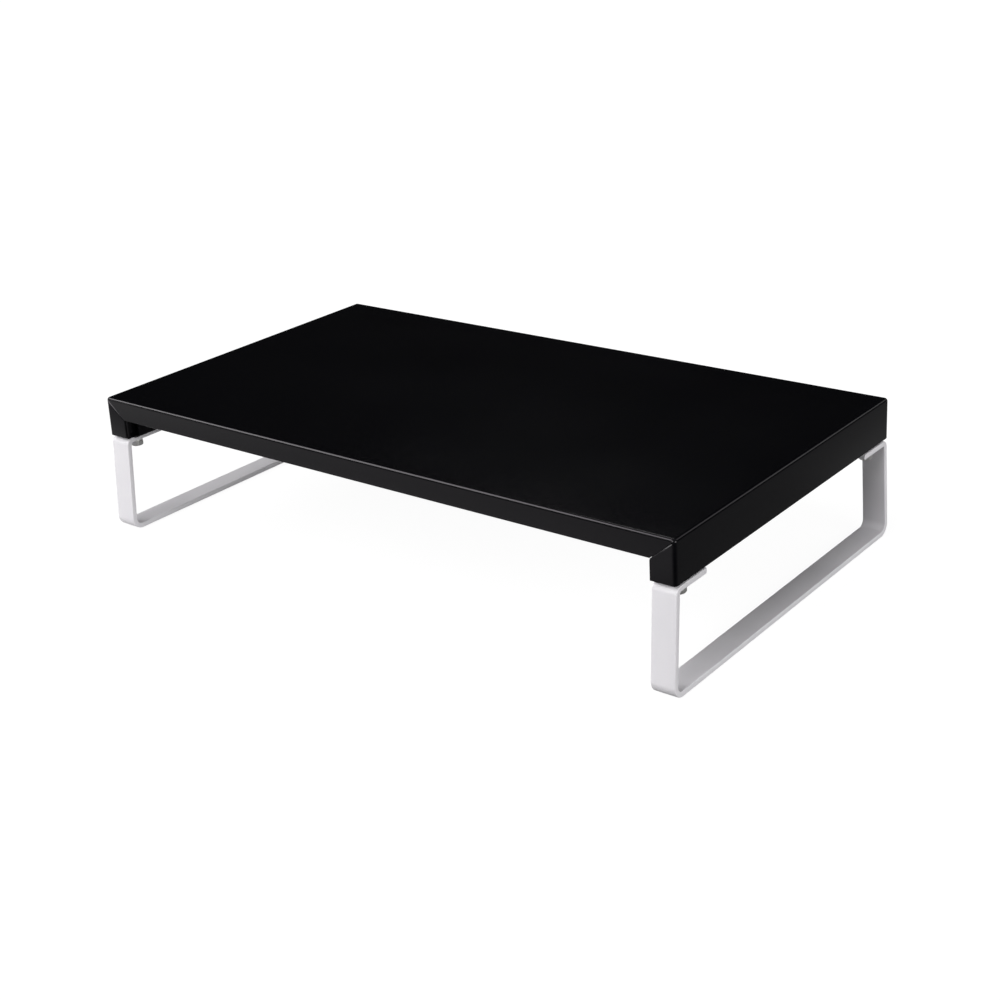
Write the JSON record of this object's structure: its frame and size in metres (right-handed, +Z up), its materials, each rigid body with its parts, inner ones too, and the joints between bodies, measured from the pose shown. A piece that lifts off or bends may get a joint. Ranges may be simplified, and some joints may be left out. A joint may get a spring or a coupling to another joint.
{
  "type": "desktop riser",
  "caption": "Low fixed desktop riser: flat folded sheet-steel tray with a shallow front lip, carried on bent flat-bar sled legs bolted under its box-section sides.",
  "frame": {"origin": "on the floor under the centre of the riser's bounding box", "axes": "+X to the right along the width, +Y to the rear (the front lip faces -Y), +Z up"},
  "size_m": [0.59, 0.3376, 0.124],
  "materials": {
    "black_paint": "semi-matte black powder coat",
    "white_paint": "satin white-silver powder coat",
    "zinc_steel": "bright zinc plate",
    "rubber": "matte dark rubber"
  },
  "bodies": {
    "root": {"top_tray": "black_paint", "centre_stiffener": "black_paint", "side_rail_left": "black_paint", "side_rail_right": "black_paint", "corner_angle_front_left": "black_paint", "corner_angle_front_right": "black_paint", "corner_angle_rear_left": "black_paint", "corner_angle_rear_right": "black_paint", "leg_left": "white_paint", "leg_right": "white_paint", "foot_strip_left": "rubber", "foot_strip_right": "rubber", "bolt_front_left": "zinc_steel", "bolt_front_right": "zinc_steel", "bolt_rear_left": "zinc_steel", "bolt_rear_right": "zinc_steel", "flat_washer_front_left": "zinc_steel", "flat_washer_front_right": "zinc_steel", "flat_washer_rear_left": "zinc_steel", "flat_washer_rear_right": "zinc_steel", "lock_washer_front_left": "zinc_steel", "lock_washer_front_right": "zinc_steel", "lock_washer_rear_left": "zinc_steel", "lock_washer_rear_right": "zinc_steel", "weld_nut_front_left": "zinc_steel", "weld_nut_front_right": "zinc_steel", "weld_nut_rear_left": "zinc_steel", "weld_nut_rear_right": "zinc_steel"}
  },
  "joints": []
}
